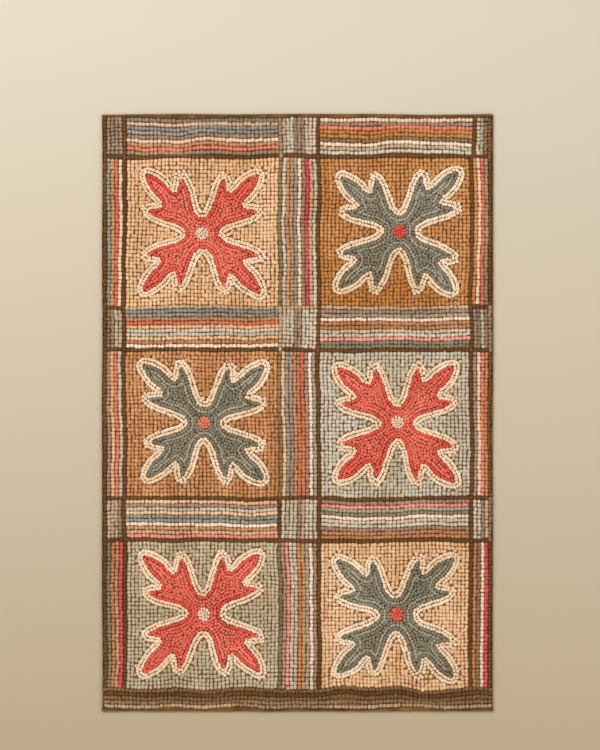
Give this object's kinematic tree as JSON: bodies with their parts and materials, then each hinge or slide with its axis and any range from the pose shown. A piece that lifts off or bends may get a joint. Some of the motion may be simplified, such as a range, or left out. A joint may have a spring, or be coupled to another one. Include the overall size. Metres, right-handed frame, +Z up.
{
  "type": "hooked rug",
  "caption": "Flat rectangular hooked wool rug with looped pile, a block pattern of oak-leaf crosses between striped bands, and a cotton tape binding turned under its edges.",
  "frame": {"origin": "on the floor, under the middle of the rug", "axes": "+X across the rug, +Y along its length towards the edge shown at the top, +Z up through the pile"},
  "size_m": [0.6248, 0.9542, 0.008],
  "materials": {
    "hooked_wool": "looped pile of dyed wool strips",
    "burlap_ground": "plain-woven jute",
    "binding_tape": "brown cotton twill tape"
  },
  "bodies": {
    "root": {"hooked_field": "hooked_wool", "binding_top": "binding_tape", "binding_bottom": "binding_tape", "binding_left": "binding_tape", "binding_right": "binding_tape"}
  },
  "joints": []
}
